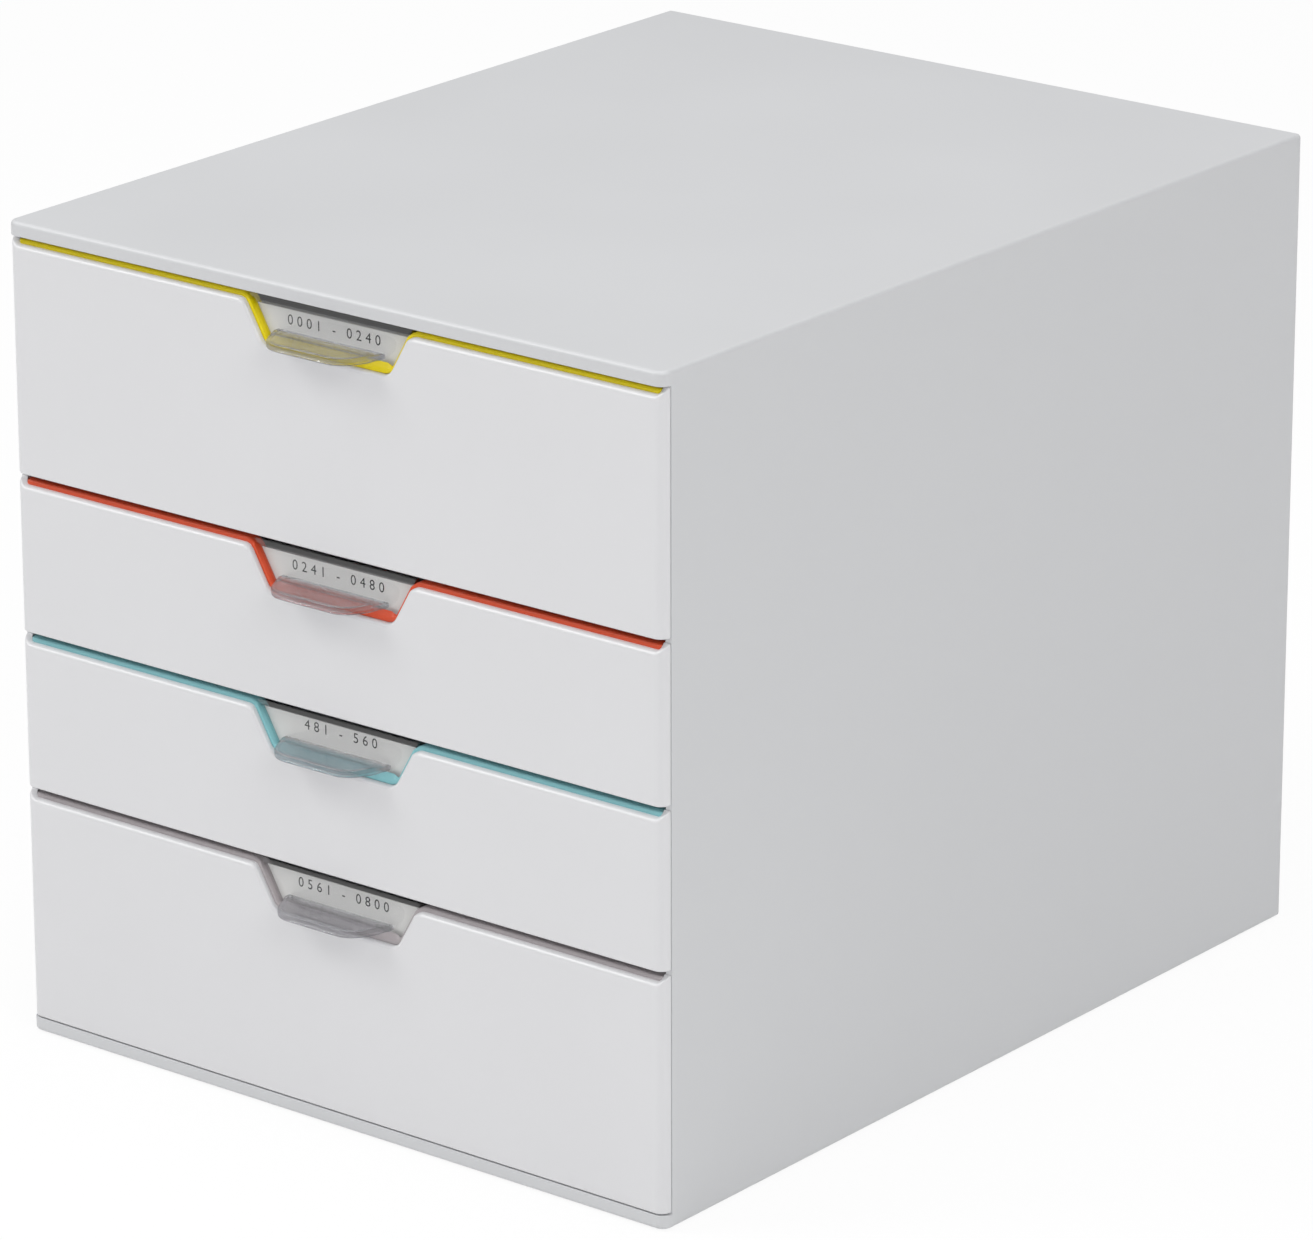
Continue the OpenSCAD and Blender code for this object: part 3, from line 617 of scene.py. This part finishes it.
# %% [markdown]
# ## Grips
# A grip is one clear moulding: a window that fills the pocket, and a lip that stands out of it
# like a small shelf, with a thicker bead along its free edge for the fingertips. The window is
# a plate with a rounded rim. The lip is a section carried along its free edge: each section
# starts on the root line at the window, runs out over the flat lip, goes round the bead and
# comes back below. The bead fades out where the lip passes into the pocket.


# %% Grips
def plate(outline, y, rim):
    """A plate between two y with a rounded rim: the outline shrunk to its middle by the rim's
    radius at both faces, and by r(1 - sin a) between."""
    line = np.asarray(outline, float)
    d = np.roll(line, -1, 0) - np.roll(line, 1, 0)
    d /= np.linalg.norm(d, axis=1)[:, None]
    area = np.sum(line[:, 0] * np.roll(line[:, 1], -1) - np.roll(line[:, 0], -1) * line[:, 1])
    out = np.stack([d[:, 1], -d[:, 0]], -1) * np.sign(area)
    rows = []
    for start, sign in ((y[0], 1), (y[1], -1)):
        arc = np.linspace(0, math.pi / 2, 4)[::sign]
        for a in arc:
            p = line - out * rim * (1 - math.sin(a))
            depth = start + sign * rim * (1 - math.cos(a))
            rows.append(np.stack([p[:, 0], np.full(len(p), depth), p[:, 1]], -1))
    return np.stack(rows, 0)


def window_line(level):
    """The lining's opening up to the level, less a gap all round."""
    inset = LINING + WINDOW_GAP
    r = POCKET_FOOT_R - inset
    return refined(rounded(pocket_corners(inset, level), [r, r]), 4.0)


LIP_HALF = 23.0
LIP_FRONT_HALF = 16.0
LIP_ROOT_Y = 3.48
LIP_SIDE_Y = 1.5
LIP_RADII = (1.6, 9.0, 9.0, 1.6)
BEAD_R = 0.6
BEAD_STAND = 0.3
FLAT_R = 0.45


def lip_grid():
    """Sections from the root line, over the lip, round the bead and back."""
    half, front = LIP_HALF, LIP_FRONT_HALF
    edge = rounded([[-half, LIP_ROOT_Y], [-half, LIP_SIDE_Y], [-front, -LIP_REACH],
                    [front, -LIP_REACH], [half, LIP_SIDE_Y], [half, LIP_ROOT_Y]], LIP_RADII)
    edge = refined(edge, 1.2)
    normal = -free_side(edge)
    f = np.linspace(0, 1, len(edge))
    root_half = half - 1.5
    root = np.stack([-root_half + f * 2 * root_half, np.full(len(f), LIP_ROOT_Y)], -1)
    bead = ease(edge[:, 1], 0.5, -3.0)
    bottom = LIP_TOP - LIP_T
    r = BEAD_R

    def node(inwards, z, flat_z):
        p = edge - normal * inwards
        level = flat_z + (z - flat_z) * bead
        return np.stack([p[:, 0], p[:, 1], level], -1)

    def arc(centre_q, centre_z, start, end, flat):
        return [node(centre_q - r * math.cos(a), centre_z + r * math.sin(a),
                     flat + FLAT_R * math.sin(a)) for a in np.linspace(start, end, 5)]

    top_flat, bottom_flat = LIP_TOP - FLAT_R, bottom + FLAT_R
    bead_top, bead_bottom = LIP_TOP + BEAD_STAND, bottom - 2 * BEAD_STAND
    loop = [np.stack([root[:, 0], root[:, 1], np.full(len(f), LIP_TOP)], -1),
            node(2.1, LIP_TOP, LIP_TOP)]
    loop += arc(0.9, bead_top - r, math.pi, math.pi / 2, top_flat)
    loop += arc(0.6, bead_top - r, math.pi / 2, 0, top_flat)
    loop += arc(0.6, bead_bottom + r, 0, -math.pi / 2, bottom_flat)
    loop += arc(0.9, bead_bottom + r, -math.pi / 2, -math.pi, bottom_flat)
    loop += [node(2.1, bottom, bottom),
             np.stack([root[:, 0], root[:, 1], np.full(len(f), bottom)], -1)]
    return np.stack(loop, 1)


window = plate(window_line(WINDOW_TOP), WINDOW_Y, 0.25)
lip = lip_grid()
for n in DRAWERS:
    top = edge_height(n)
    pane = make_piece(f"window_{n}", [raised(window, top)], f"drawer_{n}",
                      clear_window)
    shelf = make_piece(f"lip_{n}", [raised(lip, top)], f"drawer_{n}",
                       clear_lip)
    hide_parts(f"drawer_{n}_handle")
    print(pane.name, "and", shelf.name, len(shelf.data.polygons), "faces")

# %% [markdown]
# ## Labels
# The card behind each window carries a range of file numbers in a thin, widely spaced type.
# The numbers are a text object turned into a mesh, laid on the card and then moved into the
# frame in its vertices, so that its object stays at the origin. Cards pushed in by hand don't
# sit level, so each has its own height below the cover's edge, and so have its numbers.

# %% Labels
LABELS = ("0001 - 0240", "0241 - 0480", "481 - 560", "0561 - 0800")
CARD_DIP = (1.9, 1.4, 0.9, 0.7)
BASELINE = (-7.0, -6.5, -5.15, -5.5)
TYPE_SIZE = 5.0
TYPE_SPACING = 1.62
INK_T = 0.008

for n, words, dip, baseline in zip(DRAWERS, LABELS, CARD_DIP, BASELINE):
    top = edge_height(n)
    card = plate(window_line(-dip), CARD_Y, 0.05)
    label = make_piece(f"label_{n}", [raised(card, top)], f"drawer_{n}",
                       label_card)
    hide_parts(f"drawer_{n}_label")

    text = bpy.data.curves.new(f"numbers_{n}", "FONT")
    text.body = words
    text.size = TYPE_SIZE
    text.align_x = "CENTER"
    text.space_character = TYPE_SPACING
    text.extrude = INK_T
    text.resolution_u = 4
    holder = bpy.data.objects.new(f"numbers_{n}", text)
    bpy.context.scene.collection.objects.link(holder)
    bpy.context.view_layer.update()
    mesh = bpy.data.meshes.new_from_object(holder.evaluated_get(
        bpy.context.evaluated_depsgraph_get()))
    bpy.data.objects.remove(holder)
    flat = np.empty(len(mesh.vertices) * 3)
    mesh.vertices.foreach_get("co", flat)
    flat = flat.reshape(-1, 3)
    standing = np.stack([flat[:, 0], CARD_Y[0] - 0.01 - flat[:, 2],
                         flat[:, 1] + top + baseline], -1)
    mesh.vertices.foreach_set("co", to_frame(standing).ravel())
    mesh.name = f"numbers_{n}"
    numbers = finish_piece(f"numbers_{n}", mesh, f"drawer_{n}", label_ink)
    print(label.name, "and", numbers.name, len(mesh.polygons), "faces")

# %% [markdown]
# ## Sleeve, trays and rear panel
# These mouldings already have their exact shape in the frame, as loose triangles. Real
# mouldings have no knife edges, so each is copied, its triangles are merged into flat faces,
# and a bevel a few tenths of a millimetre wide breaks every sharp edge and catches the light.


# %% Sleeve, trays and rear panel
def softened(node, material, width_mm):
    """A merged copy of a CAD node with its flat faces joined and its sharp edges bevelled."""
    source = frame["nodes"][node]
    bm = bmesh.new()
    bm.from_mesh(source.data)
    bmesh.ops.remove_doubles(bm, verts=bm.verts, dist=1e-6)
    bmesh.ops.dissolve_limit(bm, angle_limit=math.radians(0.5), verts=bm.verts,
                             edges=bm.edges, use_dissolve_boundaries=False)
    mesh = bpy.data.meshes.new(node + "_soft")
    bm.to_mesh(mesh)
    bm.free()
    piece = finish_piece(node + "_soft", mesh, source["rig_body"], material, 25.0)
    bevel = piece.modifiers.new("broken edges", "BEVEL")
    bevel.width = width_mm / 1000.0
    bevel.segments = 2
    bevel.limit_method = "ANGLE"
    bevel.angle_limit = math.radians(40)
    bevel.use_clamp_overlap = True
    piece.modifiers.move(1, 0)
    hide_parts(node)
    return piece


for node, slot, material, width in (
        ("housing_shell", "housing_plastic", grained_sleeve, 0.15),
        ("rear_panel", "housing_plastic", grained_sleeve, 0.25),
        *((f"drawer_{n}_tray", "tray_plastic", tray_plastic, 0.3) for n in DRAWERS)):
    piece = softened(node, material, width)
    print(piece.name, len(piece.data.polygons), "faces before its bevel")

# %% [markdown]
# The runner panels and the feet are seen only through gaps and from below. Their CAD meshes
# stay as they are and get their own plastic and rubber.

# %% Runners and feet
for name, node in frame["nodes"].items():
    material = runner_plastic if name.startswith("runner") else foot_rubber
    if name.startswith(("runner", "foot")):
        node.data.materials.clear()
        node.data.materials.append(material)

# %% [markdown]
# ## Floor and light
# The photograph is a studio picture on white. The floor is pale and takes the tower's soft
# shadow, and a share of pure white for what the camera and the gloss see of it stands for the
# evenly lit backdrop. The world gives an even light from all round, and three large lamps
# model the shape: the key from above on the front's left, a weaker fill from its right, which
# leaves the right side a step darker, as in the picture, and a wide one overhead for the top.

# %% Floor
floor_paper, output = new_material("pale_studio_floor")
place = add(floor_paper, "ShaderNodeTexCoord")
mottle = add(floor_paper, "ShaderNodeTexNoise", {
    "Vector": (place, "Object"), "Scale": per_mm(3.0), "Detail": 2.0})
pale = add(floor_paper, "ShaderNodeMix", {
    "Factor": (mottle, "Fac"), "A": linear("#f4f4f4"), "B": linear("#f8f8f8")},
    data_type="RGBA")
matt = add(floor_paper, "ShaderNodeBsdfDiffuse", {"Color": (pale, 2)})
white = add(floor_paper, "ShaderNodeEmission", {"Color": (1, 1, 1, 1), "Strength": 1.01})
path = add(floor_paper, "ShaderNodeLightPath")
seen = add(floor_paper, "ShaderNodeMath", {
    0: (path, "Is Camera Ray"), 1: (path, "Is Glossy Ray")}, operation="MAXIMUM")
share = add(floor_paper, "ShaderNodeMath", {0: (seen, 0), 1: 0.9}, operation="MULTIPLY")
mixed = add(floor_paper, "ShaderNodeMixShader", {
    0: (share, 0), 1: (matt, 0), 2: (white, 0)})
floor_paper.node_tree.links.new(mixed.outputs[0], output.inputs[0])

FLOOR_RADIUS = 9.0
FLOOR_SIDES = 96
angle = np.linspace(0, 2 * math.pi, FLOOR_SIDES, endpoint=False)
rim = np.stack([FLOOR_RADIUS * np.cos(angle), FLOOR_RADIUS * np.sin(angle), 0 * angle], -1)
floor_mesh = bpy.data.meshes.new("floor")
floor_mesh.from_pydata(rim.tolist(), [], [list(range(FLOOR_SIDES))])
floor_mesh.materials.append(floor_paper)
floor = bpy.data.objects.new("floor", floor_mesh)
bpy.context.scene.collection.objects.link(floor)

# %% Light
bpy.context.scene.view_settings.view_transform = "Standard"
world = bpy.data.worlds.new("studio")
bpy.context.scene.world = world
world.use_nodes = True
world.node_tree.nodes.clear()
sky_out = add(world, "ShaderNodeOutputWorld")
sky_path = add(world, "ShaderNodeLightPath")
even = add(world, "ShaderNodeBackground", {"Color": (1, 1, 1, 1), "Strength": 0.3})
backdrop = add(world, "ShaderNodeBackground", {"Color": (1, 1, 1, 1), "Strength": 1.0})
sky = add(world, "ShaderNodeMixShader", {
    0: (sky_path, "Is Camera Ray"), 1: (even, 0), 2: (backdrop, 0)})
world.node_tree.links.new(sky.outputs[0], sky_out.inputs[0])


def lamp(name, place, target, size, watts):
    """A square area lamp of the given edge, turned so that its -Z points at the target."""
    data = bpy.data.lights.new(name, "AREA")
    data.size = size
    data.energy = watts
    light = bpy.data.objects.new(name, data)
    aim = (Vector(target) - Vector(place)).to_track_quat("-Z", "Y").to_matrix().to_4x4()
    light.matrix_world = Matrix.Translation(place) @ aim
    bpy.context.scene.collection.objects.link(light)
    print(name, watts, "W")


CENTRE = (0.0, 0.0, 0.15)
lamp("key", (-2.0, -1.75, 2.45), CENTRE, 1.5, 44.5)
lamp("fill", (2.31, -1.39, 2.06), CENTRE, 1.6, 33.7)
lamp("top", (0.2, 0.3, 2.8), CENTRE, 2.0, 28.0)
